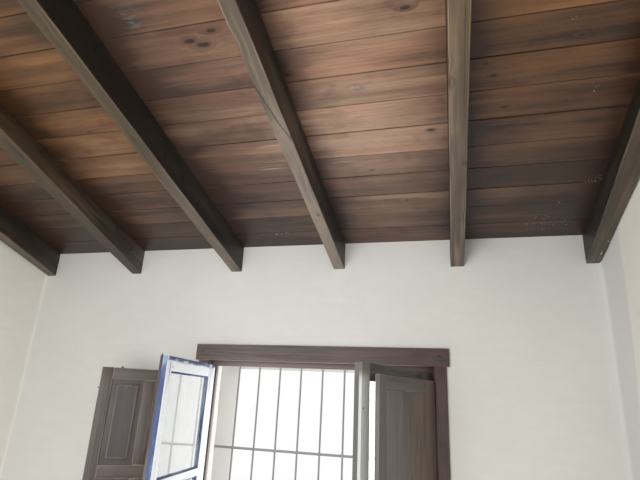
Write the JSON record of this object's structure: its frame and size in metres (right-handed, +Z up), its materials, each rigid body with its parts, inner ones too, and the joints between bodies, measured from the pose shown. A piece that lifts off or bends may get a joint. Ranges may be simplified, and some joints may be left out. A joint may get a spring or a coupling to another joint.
{
  "type": "adobe house room end with window and beamed roof",
  "caption": "Cutaway end of a whitewashed adobe room: sloping beam-and-board roof under clay tiles, barred window with open casements and panelled shutters",
  "frame": {"origin": "middle of the footprint, on the ground", "axes": "+Z up, +Y out through the window, +X along the window wall to the right"},
  "size_m": [4.342, 2.93, 3.2207],
  "materials": {
    "plaster": "matt limewash",
    "beam_wood": "dark stain",
    "board_wood": "satin stain",
    "tile_bed": "rough mortar",
    "clay_tile": "fired clay",
    "frame_wood": "dark stain",
    "casement_paint": "worn blue paint",
    "window_glass": "clear",
    "shutter_wood": "dark stain",
    "dark_iron": "matt black"
  },
  "bodies": {
    "root": {"window_wall": "plaster", "left_wall": "plaster", "right_wall": "plaster", "beam_filling": "plaster", "beam_1": "beam_wood", "beam_2": "beam_wood", "beam_3": "beam_wood", "beam_4": "beam_wood", "beam_5": "beam_wood", "beam_6": "beam_wood", "ceiling_boards": "board_wood", "tile_bed": "tile_bed", "channel_tiles": "clay_tile", "cover_tiles": "clay_tile", "head_board": "frame_wood", "left_jamb": "frame_wood", "right_jamb": "frame_wood", "sill_rail": "frame_wood", "left_leaf_stiles": "casement_paint", "left_leaf_rails": "casement_paint", "left_leaf_glass": "window_glass", "left_leaf_beads": "casement_paint", "left_leaf_hinges": "dark_iron", "right_leaf_stiles": "casement_paint", "right_leaf_rails": "casement_paint", "right_leaf_glass": "window_glass", "right_leaf_beads": "casement_paint", "right_leaf_hinges": "dark_iron", "left_shutter_stiles": "shutter_wood", "left_shutter_rails": "shutter_wood", "left_shutter_muntins": "shutter_wood", "left_shutter_panels": "shutter_wood", "left_shutter_hinges": "dark_iron", "right_shutter_stiles": "shutter_wood", "right_shutter_rails": "shutter_wood", "right_shutter_muntins": "shutter_wood", "right_shutter_panels": "shutter_wood", "right_shutter_hinges": "dark_iron", "window_bars": "dark_iron", "cross_bars": "dark_iron", "leaf_bolt": "dark_iron"}
  },
  "joints": []
}
